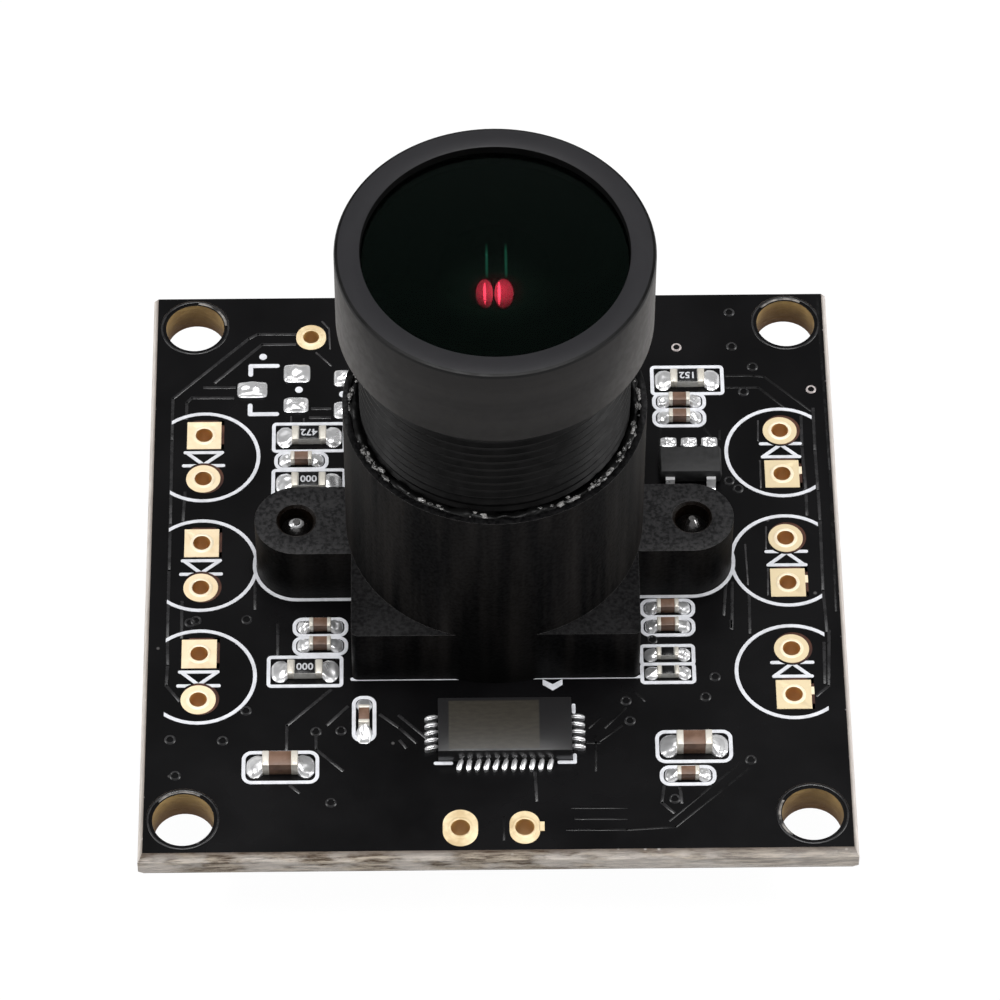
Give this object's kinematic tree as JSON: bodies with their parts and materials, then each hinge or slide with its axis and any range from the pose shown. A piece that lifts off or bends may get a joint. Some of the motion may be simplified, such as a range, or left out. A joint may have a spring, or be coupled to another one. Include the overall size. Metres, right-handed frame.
{
  "type": "camera module",
  "caption": "Square circuit board with a wide-angle screw-in lens in a black plastic holder, rows of lamp pads at both sides and a mounting hole at each corner.",
  "frame": {"origin": "centre of the four mounting holes on the board's underside", "axes": "+Z along the lens axis out of the lens, +X to the right and +Y to the edge with the cable socket"},
  "size_m": [0.032, 0.032, 0.0276],
  "materials": {
    "board": "satin black solder mask over glass laminate",
    "ink": "matt white printed ink",
    "gold": "gold-plated copper",
    "solder": "bright tinned solder",
    "holder_plastic": "moulded black plastic",
    "screw_steel": "plated steel",
    "black_anodised": "black anodised",
    "adhesive": "glossy cured glue",
    "front_lens": "coated glass",
    "inner_black": "matt black",
    "inner_lens": "coated glass",
    "filter_glass": "infrared-cut filter glass",
    "ceramic": "black ceramic",
    "silicon": "polished silicon",
    "cover_glass": "clear glass",
    "chip_plastic": "moulded epoxy",
    "tinned_leads": "tinned copper",
    "crystal_can": "nickel-plated lid on ceramic",
    "socket_plastic": "natural nylon",
    "contact_brass": "tinned brass",
    "resistor_coat": "black glass coat with tinned end caps",
    "capacitor_ceramic": "brown ceramic with tinned end caps"
  },
  "bodies": {
    "root": {"pcb": "board", "silkscreen": "ink", "led_pads": "gold", "wire_pads": "gold", "bare_pads": "solder", "solder_joints": "solder", "lens_holder": "holder_plastic", "holder_screws": "screw_steel", "lens_barrel": "black_anodised", "thread_adhesive": "adhesive", "front_glass": "front_lens", "spacer_ring": "inner_black", "second_glass": "inner_lens", "aperture_stop": "inner_black", "third_glass": "inner_lens", "rear_spacer": "inner_black", "rear_glass": "inner_lens", "infrared_filter": "filter_glass", "sensor_package": "ceramic", "sensor_die": "silicon", "sensor_cover_glass": "cover_glass", "processor_body": "chip_plastic", "processor_terminals": "solder", "regulator_body": "chip_plastic", "regulator_leads": "tinned_leads", "memory_body": "chip_plastic", "memory_leads": "tinned_leads", "crystal": "crystal_can", "socket_housing": "socket_plastic", "socket_contacts": "contact_brass", "socket_anchors": "tinned_leads", "resistor_rear_left": "resistor_coat", "resistor_ear_left": "resistor_coat", "resistor_front_left": "resistor_coat", "resistor_rear_right": "resistor_coat", "resistor_side_right_1": "resistor_coat", "resistor_side_right_2": "resistor_coat", "capacitor_rear_left": "capacitor_ceramic", "capacitor_side_left_1": "capacitor_ceramic", "capacitor_side_left_2": "capacitor_ceramic", "capacitor_chip_left": "capacitor_ceramic", "capacitor_supply_left": "capacitor_ceramic", "capacitor_rear_right_1": "capacitor_ceramic", "capacitor_rear_right_2": "capacitor_ceramic", "capacitor_side_right_1": "capacitor_ceramic", "capacitor_side_right_2": "capacitor_ceramic", "capacitor_supply_right": "capacitor_ceramic", "capacitor_filter_right": "capacitor_ceramic", "under_capacitor_1": "capacitor_ceramic", "under_capacitor_2": "capacitor_ceramic", "under_capacitor_3": "capacitor_ceramic", "under_capacitor_4": "capacitor_ceramic", "under_resistor_1": "resistor_coat", "under_resistor_2": "resistor_coat"}
  },
  "joints": []
}
